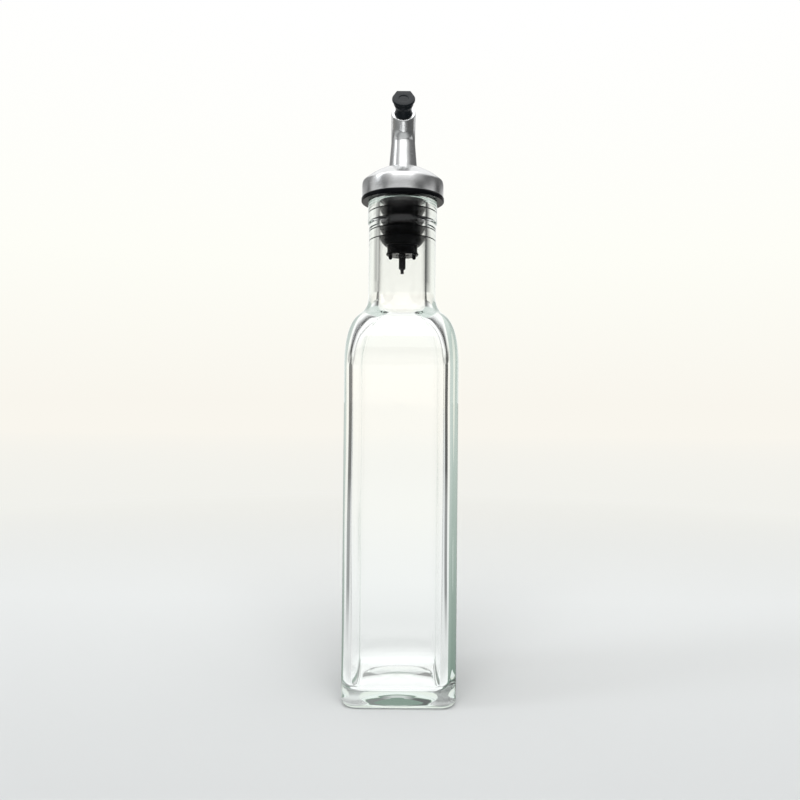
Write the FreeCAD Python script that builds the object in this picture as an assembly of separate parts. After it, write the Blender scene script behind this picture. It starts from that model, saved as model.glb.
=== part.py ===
"""Square glass olive oil bottle with a metal-capped pourer, empty, with its spout plugged.

Millimetres, +Z up. The origin is the centre of the underside, and the flats face X and Y.
The spout leans towards -Y.
"""
import FreeCAD, Part

import math
import os

from FreeCAD import Vector

# Glass body
BODY_WIDTH = 47.0             # across opposite flats
BODY_CORNER_RADIUS = 6.5      # upright outer edges
BODY_HEIGHT = 139.1           # underside to where the flats start to pull in
WALL = 3.4                    # glass behind the flats
CAVITY_CORNER_RADIUS = 5.8    # upright inner edges
BASE_THICKNESS = 6.0          # glass under the edge of the inner floor
HEEL_RADIUS = 3.0             # flats to underside
FLOOR_EDGE_RADIUS = 4.0       # inner floor to inner walls
FLOOR_CROWN = 1.0             # rise of the inner floor at its middle
PUNT_RADIUS = 16.5            # hollow under the base, which leaves a ring to stand on
PUNT_DEPTH = 1.8

# Glass shoulder: square at the foot, round at the neck
SHOULDER_HEIGHT = 31.4
SHOULDER_DROP = 2.0           # how much lower the inner shoulder lies
SHOULDER_FULLNESS = 0.54      # share of the height at which the upright tangent turns in
SHOULDER_TURN = 0.35          # share of the way out at which full turns to hollow
SHOULDER_ROOT = 0.80          # share of the height at which the slope meets the neck

# Glass neck
NECK_RADIUS = 14.5
BORE_RADIUS = 10.0
NECK_LENGTH = 39.7            # top of the shoulder to the mouth
FINISH_PROUD = 0.45           # band below the mouth, past the neck
FINISH_HEIGHT = 9.0
FINISH_SLOPE = 1.3            # height of the slope from the neck to that band
LIP_ROUND = 0.9               # outer edge of the mouth
MOUTH_ROUND = 0.8             # inner edge of the mouth

# Hard insert: flange on the mouth, boss in the collar, stem through the sleeve
FLANGE_LEDGE = 0.3            # how far the flange stands out past the collar
FLANGE_THICKNESS = 1.8
FLANGE_ROUND = 0.45
BOSS_HEIGHT = 5.0
STEM_RADIUS = 5.5
STEM_BORE_RADIUS = 4.0
KNOB_RADIUS = 6.75            # end of the stem, which holds the sleeve on
KNOB_WAIST = 0.25             # how much the knob is hollowed at half its height
KNOB_HEIGHT = 3.2
BEAD_RADIUS = 7.0
BEAD_HEIGHT = 0.9
END_WALL = 1.5
PORT_COUNT = 4
PORT_RADIUS = 0.9
PORT_CIRCLE_RADIUS = 2.75
FOOT_RADIUS = 0.85
FOOT_LENGTH = 1.6
FOOT_CIRCLE_RADIUS = 5.1
FOOT_COUNT = 4

# Soft sleeve with fins that seal in the neck
SLEEVE_RADIUS = 7.4
SLEEVE_HEAD_GAP = 0.6         # ring of air between the sleeve's head and the glass
SLEEVE_HEAD_HEIGHT = 1.8
FIN_COUNT = 4
FIN_PITCH = 4.1
FIRST_FIN_DROP = 3.6          # mouth to the middle of the first fin's rim
FIN_RIM = 0.4                 # thickness of a fin at the glass
FIN_DEPTH = 3.1               # height of the cone under the rim
FIN_BULGE = 0.3               # how far the cone swells past a straight one

# Breather tube
VENT_RADIUS = 1.45
VENT_BORE_RADIUS = 0.4
VENT_DROP = 5.6               # end wall to the start of the tube's nose
VENT_NOSE_LENGTH = 0.5
VENT_TIP_RADIUS = 0.72
VENT_TIP_LENGTH = 1.6
VENT_RISE = 12.0              # how far it stands up in the spout above the boss

# Metal collar
COLLAR_RADIUS = 17.6
COLLAR_SIDE = 6.6
COLLAR_WALL = 0.9
COLLAR_HEM = 0.3              # rounded lower edge
COLLAR_BROW = 0.8             # round between the side and the dome
DOME_RISE = 6.6               # top of the side to the foot of the spout
DOME_RADIUS = 19.0

# Metal spout
SPOUT_FOOT_RADIUS = 6.05
SPOUT_TIP_RADIUS = 5.15
SPOUT_WALL = 1.35
SPOUT_TAPER_LENGTH = 10.8     # dome to the start of the bend
SPOUT_BEND_RADIUS = 9.0
SPOUT_BEND_ANGLE = 55.6
SPOUT_STRAIGHT = 5.0          # bend to mouth
SPOUT_RIM_ROUND = 0.45

# Soft plug in the spout
PLUG_STEM_RADIUS = 3.3
PLUG_STEM_LENGTH = 6.0
PLUG_STEM_CHAMFER = 0.3       # inner end of the stem
PLUG_SEAL_LENGTH = 1.2        # bead that fills the spout's mouth
PLUG_WAIST_RADIUS = 3.45      # narrowest place of the neck
PLUG_NECK_LENGTH = 4.25       # spout's mouth to the ridge
PLUG_RIDGE_RADIUS = 4.1
PLUG_RIDGE_HEIGHT = 1.2
PLUG_GROOVE_RADIUS = 3.75
PLUG_GROOVE_HEIGHT = 0.4
PLUG_HEAD_RADIUS = 4.8
PLUG_HEAD_HEIGHT = 1.2
PLUG_HEAD_ROUND = 0.3
PLUG_TAB_REACH = 5.2          # middle of the head to the tab's flat end
PLUG_TAB_WIDTH = 5.8
PLUG_TAB_SHOULDER = 1.6       # where the tab's slanted sides leave the round head
PLUG_DIMPLE_RADIUS = 2.1      # flat-bottomed hollow in the head
PLUG_DIMPLE_SLOPE = 0.15      # how much narrower its bottom is
PLUG_DIMPLE_DEPTH = 0.25

# Sizes that follow
FINISH_RADIUS = NECK_RADIUS + FINISH_PROUD
FLANGE_RADIUS = COLLAR_RADIUS + FLANGE_LEDGE
LAST_FIN_DROP = FIRST_FIN_DROP + (FIN_COUNT - 1) * FIN_PITCH

# Heights that follow
NECK_FOOT_Z = BODY_HEIGHT + SHOULDER_HEIGHT
MOUTH_Z = NECK_FOOT_Z + NECK_LENGTH
FLANGE_TOP_Z = MOUTH_Z + FLANGE_THICKNESS
BOSS_TOP_Z = FLANGE_TOP_Z + BOSS_HEIGHT
SLEEVE_FOOT_Z = MOUTH_Z - LAST_FIN_DROP - FIN_RIM / 2 - FIN_DEPTH
BEAD_TOP_Z = SLEEVE_FOOT_Z - KNOB_HEIGHT
INSERT_FOOT_Z = BEAD_TOP_Z - BEAD_HEIGHT
DOME_FOOT_Z = FLANGE_TOP_Z + COLLAR_SIDE
DOME_TOP_Z = DOME_FOOT_Z + DOME_RISE
BEND_Z = DOME_TOP_Z + SPOUT_TAPER_LENGTH

AXIS = Vector(0, 0, 1)
ORIGIN = Vector(0, 0, 0)
ABOVE = 5.0                   # how far a cutter stands out of what it cuts


def arc_step(centre, radius, start_angle, end_angle):
    """Middle and end of an arc about centre, as one step of a lathe outline."""
    middle_angle = (start_angle + end_angle) / 2
    step = []
    for angle in (middle_angle, end_angle):
        step.append(centre[0] + radius * math.cos(math.radians(angle)))
        step.append(centre[1] + radius * math.sin(math.radians(angle)))
    return tuple(step)


def lathe(outline):
    """Turn an outline about Z. A step is a (radius, height) point, or an arc's middle and end."""
    edges = []
    here = Vector(outline[0][0], 0, outline[0][1])
    for step in outline[1:] + outline[:1]:
        end = Vector(step[-2], 0, step[-1])
        if len(step) == 4:
            edges.append(Part.Arc(here, Vector(step[0], 0, step[1]), end).toShape())
        else:
            edges.append(Part.makeLine(here, end))
        here = end
    return Part.Face(Part.Wire(edges)).revolve(ORIGIN, AXIS, 360)


def turned_copies(shape, count):
    """Copies of a shape spaced evenly round the Z axis."""
    copies = []
    for index in range(count):
        copy = shape.copy()
        copy.rotate(ORIGIN, AXIS, index * 360 / count)
        copies.append(copy)
    return copies


def fused(first, *others):
    """One solid from shapes that meet, without the seams between them."""
    return first.fuse(list(others)).removeSplitter()


def spherical_cap(radius, height):
    """A cap that stands on the XY plane, with that rim radius and that height."""
    sphere_radius = (radius**2 + height**2) / (2 * height)
    ball = Part.makeSphere(sphere_radius, Vector(0, 0, height - sphere_radius))
    return ball.common(Part.makeCylinder(radius, height, ORIGIN, AXIS))


def rounded_square(half_width, corner_radius, height):
    """Closed wire of a square with rounded corners, at a height."""
    flat = half_width - corner_radius
    middle = flat + corner_radius * math.sqrt(0.5)
    side = Part.makeLine(Vector(half_width, -flat, height), Vector(half_width, flat, height))
    corner = Part.Arc(
        Vector(half_width, flat, height),
        Vector(middle, middle, height),
        Vector(flat, half_width, height),
    ).toShape()
    sides = turned_copies(side, 4)
    corners = turned_copies(corner, 4)
    edges = []
    for pair in zip(sides, corners):
        edges.extend(pair)
    return Part.Wire(edges)


def patch(rows, weights):
    """Face on a rational Bezier surface whose rows of poles climb the shoulder."""
    surface = Part.BSplineSurface()
    last_row = len(rows) - 1
    last_column = len(weights) - 1
    surface.buildFromPolesMultsKnots(
        rows,
        [last_row + 1, last_row + 1],
        [last_column + 1, last_column + 1],
        [0, 1],
        [0, 1],
        False,
        False,
        last_row,
        last_column,
        [weights] * len(rows),
    )
    return surface.toShape()


def shoulder(half_width, corner_radius, neck_radius, foot_z):
    """Solid from a rounded square up to a circle, upright where it leaves each of them.

    A pole's share is 1 on the square and 0 on the circle. The flats narrow to nothing at the
    neck while the corners open out into quarters of its circle.
    """
    turn_z = SHOULDER_ROOT + SHOULDER_TURN * (SHOULDER_FULLNESS - SHOULDER_ROOT)
    full_curve = [(1, 0), (1, SHOULDER_FULLNESS), (SHOULDER_TURN, turn_z)]
    hollow_curve = [(SHOULDER_TURN, turn_z), (0, SHOULDER_ROOT), (0, 1)]
    top_z = foot_z + SHOULDER_HEIGHT
    faces = [
        Part.Face(rounded_square(half_width, corner_radius, foot_z)),
        Part.Face(Part.Wire(Part.makeCircle(neck_radius, Vector(0, 0, top_z)))),
    ]
    for curve in (full_curve, hollow_curve):
        corner_rows = []
        side_rows = []
        for share, rise in curve:
            z = foot_z + rise * SHOULDER_HEIGHT
            near = share * (half_width - corner_radius)
            far = near + neck_radius + share * (corner_radius - neck_radius)
            corner_rows.append([Vector(far, near, z), Vector(far, far, z), Vector(near, far, z)])
            side_rows.append([Vector(far, -near, z), Vector(far, near, z)])
        faces.extend(turned_copies(patch(corner_rows, [1, math.sqrt(0.5), 1]), 4))
        faces.extend(turned_copies(patch(side_rows, [1, 1]), 4))
    skin = Part.makeCompound(faces)
    skin.sewShape()
    return Part.Solid(skin.Shells[0])


def box_form(half_width, corner_radius, neck_radius, floor_z, shoulder_z, edge_radius):
    """Square box with a rounded floor edge, closed by its shoulder."""
    box = Part.Face(rounded_square(half_width, corner_radius, floor_z)).extrude(
        Vector(0, 0, shoulder_z - floor_z)
    )
    floor_edges = [edge for edge in box.Edges if edge.BoundBox.ZMax < floor_z + 0.01]
    box = box.makeFillet(edge_radius, floor_edges)
    return fused(box, shoulder(half_width, corner_radius, neck_radius, shoulder_z))


def neck_glass():
    """Outside of the neck, with the slightly wider band below its mouth."""
    finish_foot = MOUTH_Z - FINISH_HEIGHT
    lip_centre = (FINISH_RADIUS - LIP_ROUND, MOUTH_Z - LIP_ROUND)
    return lathe([
        (0, NECK_FOOT_Z),
        (NECK_RADIUS, NECK_FOOT_Z),
        (NECK_RADIUS, finish_foot - FINISH_SLOPE),
        (FINISH_RADIUS, finish_foot),
        (FINISH_RADIUS, lip_centre[1]),
        arc_step(lip_centre, LIP_ROUND, 0, 90),
        (0, MOUTH_Z),
    ])


def bore_space(foot_z):
    """Bore of the neck, rounded outwards at the mouth."""
    round_centre = (BORE_RADIUS + MOUTH_ROUND, MOUTH_Z - MOUTH_ROUND)
    return lathe([
        (0, foot_z),
        (BORE_RADIUS, foot_z),
        (BORE_RADIUS, round_centre[1]),
        arc_step(round_centre, MOUTH_ROUND, 180, 90),
        (round_centre[0], MOUTH_Z + ABOVE),
        (0, MOUTH_Z + ABOVE),
    ])


def bottle():
    """The glass: walls, thick base, shoulder and neck round one open space."""
    half_width = BODY_WIDTH / 2
    cavity_half_width = half_width - WALL
    cavity_shoulder_z = BODY_HEIGHT - SHOULDER_DROP
    outside = box_form(
        half_width, BODY_CORNER_RADIUS, NECK_RADIUS, 0, BODY_HEIGHT, HEEL_RADIUS
    )
    inside = box_form(
        cavity_half_width,
        CAVITY_CORNER_RADIUS,
        BORE_RADIUS,
        BASE_THICKNESS,
        cavity_shoulder_z,
        FLOOR_EDGE_RADIUS,
    )
    crown = spherical_cap(cavity_half_width - FLOOR_EDGE_RADIUS, FLOOR_CROWN)
    crown.translate(Vector(0, 0, BASE_THICKNESS))
    inside = fused(inside.cut(crown), bore_space(cavity_shoulder_z + SHOULDER_HEIGHT))
    return fused(outside, neck_glass()).cut([inside, spherical_cap(PUNT_RADIUS, PUNT_DEPTH)])


def insert():
    """Hard moulding: boss, flange, stem, and a knob with ports and feet at its end."""
    boss_radius = COLLAR_RADIUS - COLLAR_WALL
    flange_centre_r = FLANGE_RADIUS - FLANGE_ROUND
    waist_z = (SLEEVE_FOOT_Z + BEAD_TOP_Z) / 2
    bead_middle_z = INSERT_FOOT_Z + BEAD_HEIGHT / 2
    body = lathe([
        (0, INSERT_FOOT_Z),
        (KNOB_RADIUS - KNOB_WAIST, INSERT_FOOT_Z),
        (BEAD_RADIUS, bead_middle_z, KNOB_RADIUS, BEAD_TOP_Z),
        (KNOB_RADIUS - KNOB_WAIST, waist_z, KNOB_RADIUS, SLEEVE_FOOT_Z),
        (STEM_RADIUS, SLEEVE_FOOT_Z),
        (STEM_RADIUS, MOUTH_Z),
        (flange_centre_r, MOUTH_Z),
        arc_step((flange_centre_r, MOUTH_Z + FLANGE_ROUND), FLANGE_ROUND, -90, 0),
        (FLANGE_RADIUS, FLANGE_TOP_Z - FLANGE_ROUND),
        arc_step((flange_centre_r, FLANGE_TOP_Z - FLANGE_ROUND), FLANGE_ROUND, 0, 90),
        (boss_radius, FLANGE_TOP_Z),
        (boss_radius, BOSS_TOP_Z),
        (0, BOSS_TOP_Z),
    ])
    bore_foot = INSERT_FOOT_Z + END_WALL
    bore = Part.makeCylinder(
        STEM_BORE_RADIUS, BOSS_TOP_Z - bore_foot + ABOVE, Vector(0, 0, bore_foot)
    )
    seat = Part.makeCylinder(VENT_RADIUS, END_WALL + ABOVE, Vector(0, 0, INSERT_FOOT_Z - ABOVE / 2))
    port = Part.makeCylinder(
        PORT_RADIUS, END_WALL + ABOVE, Vector(PORT_CIRCLE_RADIUS, 0, INSERT_FOOT_Z - ABOVE / 2)
    )
    port.rotate(ORIGIN, AXIS, 180 / PORT_COUNT)
    straight = FOOT_LENGTH - FOOT_RADIUS
    foot = lathe([
        (0, BEAD_HEIGHT),
        (0, -FOOT_LENGTH),
        arc_step((0, -straight), FOOT_RADIUS, -90, 0),
        (FOOT_RADIUS, BEAD_HEIGHT),
    ])
    foot.translate(Vector(FOOT_CIRCLE_RADIUS, 0, INSERT_FOOT_Z))
    body = fused(body, *turned_copies(foot, FOOT_COUNT))
    return body.cut([bore, seat] + turned_copies(port, PORT_COUNT))


def sleeve():
    """Soft ribbed stopper: each fin meets the bore at its rim and narrows downwards."""
    fin_width = BORE_RADIUS - SLEEVE_RADIUS
    fin_slant = math.hypot(fin_width, FIN_DEPTH)
    swell_out = FIN_BULGE * FIN_DEPTH / fin_slant
    swell_down = FIN_BULGE * fin_width / fin_slant
    outline = [
        (STEM_RADIUS, SLEEVE_FOOT_Z),
        (STEM_RADIUS, MOUTH_Z),
        (BORE_RADIUS - SLEEVE_HEAD_GAP, MOUTH_Z),
        (SLEEVE_RADIUS, MOUTH_Z - SLEEVE_HEAD_HEIGHT),
    ]
    for index in range(FIN_COUNT):
        rim_top = MOUTH_Z - FIRST_FIN_DROP - index * FIN_PITCH + FIN_RIM / 2
        rim_foot = rim_top - FIN_RIM
        outline.extend([
            (SLEEVE_RADIUS, rim_top),
            (BORE_RADIUS, rim_top),
            (BORE_RADIUS, rim_foot),
            (
                (BORE_RADIUS + SLEEVE_RADIUS) / 2 + swell_out,
                rim_foot - FIN_DEPTH / 2 - swell_down,
                SLEEVE_RADIUS,
                rim_foot - FIN_DEPTH,
            ),
        ])
    return lathe(outline)


def vent_tube():
    """Breather tube with a narrow nose, from below the insert up into the spout."""
    nose_top = INSERT_FOOT_Z - VENT_DROP
    tip_top = nose_top - VENT_NOSE_LENGTH
    tip_foot = tip_top - VENT_TIP_LENGTH
    top = BOSS_TOP_Z + VENT_RISE
    return lathe([
        (VENT_BORE_RADIUS, top),
        (VENT_RADIUS, top),
        (VENT_RADIUS, nose_top),
        (VENT_TIP_RADIUS, tip_top),
        (VENT_TIP_RADIUS, tip_foot),
        (VENT_BORE_RADIUS, tip_foot),
    ])


def dome_centre():
    """Centre of the dome's arc, from the top of the collar's side to the spout's foot."""
    low = Vector(COLLAR_RADIUS, 0, DOME_FOOT_Z)
    high = Vector(SPOUT_FOOT_RADIUS, 0, DOME_TOP_Z)
    chord = high - low
    inward = Vector(-chord.z, 0, chord.x).normalize()
    distance = math.sqrt(DOME_RADIUS**2 - (chord.Length / 2) ** 2)
    return (low + high) * 0.5 + inward * distance


def dome_height(centre, dome_radius, radius):
    """Height of the dome at a radius from the bottle's axis."""
    return centre.z + math.sqrt(dome_radius**2 - (radius - centre.x) ** 2)


def collar():
    """Pressed metal cap with an upright side and a dome, open under and at the spout."""
    centre = dome_centre()
    inner_dome = DOME_RADIUS - COLLAR_WALL
    inner_radius = COLLAR_RADIUS - COLLAR_WALL
    middle_radius = (COLLAR_RADIUS + SPOUT_FOOT_RADIUS) / 2
    hem_centre = (COLLAR_RADIUS - COLLAR_HEM, FLANGE_TOP_Z + COLLAR_HEM)
    cap = lathe([
        (inner_radius, FLANGE_TOP_Z),
        (hem_centre[0], FLANGE_TOP_Z),
        arc_step(hem_centre, COLLAR_HEM, -90, 0),
        (COLLAR_RADIUS, DOME_FOOT_Z),
        (
            middle_radius,
            dome_height(centre, DOME_RADIUS, middle_radius),
            SPOUT_FOOT_RADIUS,
            DOME_TOP_Z,
        ),
        (SPOUT_FOOT_RADIUS, dome_height(centre, inner_dome, SPOUT_FOOT_RADIUS)),
        (
            middle_radius,
            dome_height(centre, inner_dome, middle_radius),
            inner_radius,
            dome_height(centre, inner_dome, inner_radius),
        ),
    ])
    brows = [
        edge for edge in cap.Edges
        if edge.BoundBox.ZLength < 0.01 and abs(edge.BoundBox.ZMin - DOME_FOOT_Z) < 0.01
    ]
    return cap.makeFillet(COLLAR_BROW, brows)


def to_spout_mouth(shape):
    """Move a shape from the origin, +Z up, to the spout's mouth, +Z out of it."""
    shape.translate(Vector(0, 0, BEND_Z + SPOUT_STRAIGHT))
    shape.rotate(Vector(0, -SPOUT_BEND_RADIUS, BEND_Z), Vector(1, 0, 0), SPOUT_BEND_ANGLE)
    return shape


def bent_rod(foot_z, foot_radius, taper_z, tip_radius, past_mouth):
    """Upright rod that tapers to the bend, follows it and runs straight to the mouth."""
    foot = Part.makeCylinder(foot_radius, taper_z - foot_z, Vector(0, 0, foot_z))
    taper = Part.makeCone(foot_radius, tip_radius, BEND_Z - taper_z, Vector(0, 0, taper_z))
    disc = Part.Face(Part.Wire(Part.makeCircle(tip_radius, Vector(0, 0, BEND_Z))))
    bend = disc.revolve(
        Vector(0, -SPOUT_BEND_RADIUS, BEND_Z), Vector(1, 0, 0), SPOUT_BEND_ANGLE
    )
    straight = Part.makeCylinder(
        tip_radius, SPOUT_STRAIGHT + past_mouth, Vector(0, 0, -SPOUT_STRAIGHT)
    )
    return fused(foot, taper, bend, to_spout_mouth(straight))


def spout():
    """Metal tube that stands on the boss, passes the collar, tapers and leans over."""
    outside = bent_rod(BOSS_TOP_Z, SPOUT_FOOT_RADIUS, DOME_TOP_Z, SPOUT_TIP_RADIUS, 0)
    mouth = to_spout_mouth(Part.makeCylinder(0.01, 0.01)).CenterOfMass
    rim = []
    for edge in outside.Edges:
        on_mouth = edge.CenterOfMass.distanceToPoint(mouth) < 0.1
        if on_mouth and len(edge.Vertexes) == 1:
            rim.append(edge)
    outside = outside.makeFillet(SPOUT_RIM_ROUND, rim)
    inside = bent_rod(
        BOSS_TOP_Z - ABOVE,
        SPOUT_FOOT_RADIUS - SPOUT_WALL,
        DOME_TOP_Z,
        SPOUT_TIP_RADIUS - SPOUT_WALL,
        ABOVE,
    )
    return outside.cut(inside)


def plug():
    """Soft plug: stem in the spout, waisted neck, ridge, and a head with a pull tab."""
    bore_radius = SPOUT_TIP_RADIUS - SPOUT_WALL
    ridge_top = PLUG_NECK_LENGTH + PLUG_RIDGE_HEIGHT
    head_foot = ridge_top + PLUG_GROOVE_HEIGHT
    head_top = head_foot + PLUG_HEAD_HEIGHT
    body = lathe([
        (0, -PLUG_STEM_LENGTH),
        (PLUG_STEM_RADIUS - PLUG_STEM_CHAMFER, -PLUG_STEM_LENGTH),
        (PLUG_STEM_RADIUS, PLUG_STEM_CHAMFER - PLUG_STEM_LENGTH),
        (PLUG_STEM_RADIUS, PLUG_STEM_RADIUS - bore_radius - PLUG_SEAL_LENGTH),
        (bore_radius, -PLUG_SEAL_LENGTH),
        (bore_radius, 0),
        (PLUG_WAIST_RADIUS, PLUG_NECK_LENGTH / 2, PLUG_RIDGE_RADIUS, PLUG_NECK_LENGTH),
        (PLUG_RIDGE_RADIUS, ridge_top),
        (PLUG_GROOVE_RADIUS, ridge_top),
        (PLUG_GROOVE_RADIUS, head_foot),
        (0, head_foot),
    ])
    head_disc = Part.makeCylinder(PLUG_HEAD_RADIUS, PLUG_HEAD_HEIGHT, Vector(0, 0, head_foot))
    side = math.sqrt(PLUG_HEAD_RADIUS**2 - PLUG_TAB_SHOULDER**2)
    corners = [
        Vector(-side, PLUG_TAB_SHOULDER, head_foot),
        Vector(side, PLUG_TAB_SHOULDER, head_foot),
        Vector(PLUG_TAB_WIDTH / 2, PLUG_TAB_REACH, head_foot),
        Vector(-PLUG_TAB_WIDTH / 2, PLUG_TAB_REACH, head_foot),
    ]
    tab = Part.Face(Part.makePolygon(corners + corners[:1])).extrude(
        Vector(0, 0, PLUG_HEAD_HEIGHT)
    )
    head = fused(head_disc, tab)
    rims = [edge for edge in head.Edges if edge.BoundBox.ZLength < 0.01]
    head = head.makeFillet(PLUG_HEAD_ROUND, rims)
    dimple = Part.makeCone(
        PLUG_DIMPLE_RADIUS - PLUG_DIMPLE_SLOPE,
        PLUG_DIMPLE_RADIUS,
        PLUG_DIMPLE_DEPTH,
        Vector(0, 0, head_top - PLUG_DIMPLE_DEPTH),
    )
    return to_spout_mouth(fused(body, head).cut(dimple))


def main():
    parts = {
        "bottle": bottle(),
        "insert": insert(),
        "sleeve": sleeve(),
        "vent_tube": vent_tube(),
        "collar": collar(),
        "spout": spout(),
        "plug": plug(),
    }
    os.makedirs("parts", exist_ok=True)
    for name, shape in parts.items():
        if len(shape.Solids) != 1 or not shape.isValid():
            raise RuntimeError(name + " is not one valid solid")
        shape.Solids[0].exportStep("parts/" + name + ".step")
        print(name, "volume", round(shape.Volume / 1000, 2), "cm3")


main()
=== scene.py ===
import math

import bmesh
import bpy
from mathutils import Matrix, Vector


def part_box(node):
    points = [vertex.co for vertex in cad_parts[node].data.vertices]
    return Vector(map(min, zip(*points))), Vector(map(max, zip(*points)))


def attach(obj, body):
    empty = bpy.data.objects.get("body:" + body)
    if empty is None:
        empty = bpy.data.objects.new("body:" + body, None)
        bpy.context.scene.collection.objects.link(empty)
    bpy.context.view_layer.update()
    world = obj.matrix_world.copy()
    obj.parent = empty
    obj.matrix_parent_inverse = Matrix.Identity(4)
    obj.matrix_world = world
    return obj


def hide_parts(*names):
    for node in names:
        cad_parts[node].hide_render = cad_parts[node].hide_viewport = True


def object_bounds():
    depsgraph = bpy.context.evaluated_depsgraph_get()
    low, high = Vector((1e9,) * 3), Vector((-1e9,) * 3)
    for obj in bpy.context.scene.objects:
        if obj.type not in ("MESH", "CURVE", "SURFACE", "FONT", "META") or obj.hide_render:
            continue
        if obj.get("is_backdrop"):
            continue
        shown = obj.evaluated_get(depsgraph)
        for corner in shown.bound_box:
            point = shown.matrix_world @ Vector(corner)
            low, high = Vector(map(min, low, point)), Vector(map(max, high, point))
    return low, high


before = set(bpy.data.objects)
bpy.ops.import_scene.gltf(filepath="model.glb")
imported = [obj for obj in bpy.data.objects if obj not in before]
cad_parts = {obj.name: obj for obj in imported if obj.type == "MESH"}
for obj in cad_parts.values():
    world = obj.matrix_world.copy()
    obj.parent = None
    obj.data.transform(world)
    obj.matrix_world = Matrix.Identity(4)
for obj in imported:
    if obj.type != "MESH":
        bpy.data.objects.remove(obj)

bl_info = {
    "name": "Square oil bottle with pourer",
    "version": (1, 0, 0),
    "blender": (4, 5, 0),
    "location": "View3D > Sidebar > Oil bottle",
    "description": "Moulded glass, ribbed stopper, satin metal pourer and its plug",
    "category": "Object",
}

CAD_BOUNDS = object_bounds()
MM = 0.001
FULL_TURN = 2 * math.pi


def node_box(node):
    """Lowest and highest corner of a part in millimetres."""
    low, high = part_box(node)
    return [value / MM for value in low], [value / MM for value in high]


GLASS_LOW, GLASS_HIGH = node_box("bottle")
SLEEVE_LOW, SLEEVE_HIGH = node_box("sleeve")
COLLAR_LOW, COLLAR_HIGH = node_box("collar")
SPOUT_LOW, SPOUT_HIGH = node_box("spout")
VENT_LOW, VENT_HIGH = node_box("vent_tube")
MOUTH_Z = GLASS_HIGH[2]


def millimetres(name, description, default):
    """A size property, held in millimetres."""
    return bpy.props.FloatProperty(name=name, description=description, default=default, precision=3)


def colour(name, description, default):
    """A colour property, held as an sRGB hex value."""
    return bpy.props.StringProperty(name=name, description=description, default=default)


def fraction(name, description, default):
    """A property from 0 to 1."""
    return bpy.props.FloatProperty(
        name=name, description=description, default=default, min=0, max=1, subtype="FACTOR"
    )


def number(name, description, default):
    """A plain number."""
    return bpy.props.FloatProperty(name=name, description=description, default=default)


class GlassSizes(bpy.types.PropertyGroup):
    """Sizes and colours of the moulded glass."""

    corner: millimetres("Corner", "Round of the upright outer edges", 6.5)
    body_height: millimetres("Body height", "Underside to where the flats start to pull in", 139.1)
    wall: millimetres("Wall", "Glass behind the flats", 3.4)
    cavity_corner: millimetres("Inner corner", "Round of the upright inner edges", 5.8)
    shift_across: millimetres("Core shift across", "How far the inside sits off centre in X", -0.62)
    shift_along: millimetres("Core shift along", "How far the inside sits off centre in Y", -0.29)
    base: millimetres("Base", "Glass under the edge of the inner floor", 6.0)
    heel: millimetres("Heel", "Round between flats and underside", 3.0)
    floor_edge: millimetres("Floor edge", "Round between inner floor and inner walls", 4.0)
    crown: millimetres("Crown", "Rise of the inner floor at its middle", 1.0)
    punt_radius: millimetres("Punt radius", "Radius of the hollow under the base", 16.5)
    punt_depth: millimetres("Punt depth", "Depth of the hollow under the base", 1.8)
    shoulder: millimetres("Shoulder", "Height of the shoulder", 31.4)
    shoulder_drop: millimetres("Shoulder drop", "How much lower the inner shoulder lies", 2.0)
    fullness: fraction("Fullness", "Share of the height where the upright tangent turns in", 0.54)
    turn: fraction("Turn", "Share of the way out where full turns to hollow", 0.35)
    root: fraction("Root", "Share of the height where the slope meets the neck", 0.80)
    neck: millimetres("Neck", "Radius of the neck", 14.5)
    bore: millimetres("Bore", "Radius of the bore", 10.0)
    finish_proud: millimetres("Finish", "Band below the mouth, past the neck", 0.45)
    finish_height: millimetres("Finish height", "Height of that band", 9.0)
    finish_slope: millimetres("Finish slope", "Height of the slope up to that band", 1.3)
    lip_round: millimetres("Lip round", "Outer edge of the mouth", 0.9)
    mouth_round: millimetres("Mouth round", "Inner edge of the mouth", 0.8)
    ripple: millimetres("Ripple", "Slow waves that blowing leaves inside", 0.10)
    tint: colour("Tint", "Colour that thick glass turns", "#9FC2B0")
    depth: number("Depth", "How strongly the tint gathers, per metre of glass", 9.0)
    # The next two colours are of a painted glow in place of light trapped in the walls; the second is
    # painted darker, near the base.
    painted_glow: colour("Gathered", "Colour of light that has run along inside the walls", "#D6DFDA")
    painted_glow_low: colour("Gathered low", "The same near the base, where it is darker", "#93A59B")


class SleeveSizes(bpy.types.PropertyGroup):
    """Sizes and colour of the soft ribbed stopper."""

    stem: millimetres("Stem", "Radius of the hole that the insert's stem fills", 5.5)
    core: millimetres("Core", "Radius between the fins", 7.4)
    head_gap: millimetres("Head gap", "Ring of air between the head and the glass", 0.6)
    head_height: millimetres("Head height", "Height of the cone at the top", 1.8)
    fin_count: bpy.props.IntProperty(name="Fins", description="How many fins", default=4, min=1)
    pitch: millimetres("Pitch", "Fin to fin", 4.1)
    first_fin: millimetres("First fin", "Mouth to the middle of the first rim", 3.6)
    rim: millimetres("Rim", "Thickness of a fin at the glass", 0.4)
    depth: millimetres("Fin depth", "Height of the cone under a rim", 3.1)
    bulge: millimetres("Fin bulge", "How far the cone swells past a straight one", 0.3)
    bite: millimetres("Bite", "How far a rim reaches into the glass, so no air shows", 0.05)
    rubber: colour("Rubber", "Colour of the moulded rubber", "#07080B")


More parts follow.
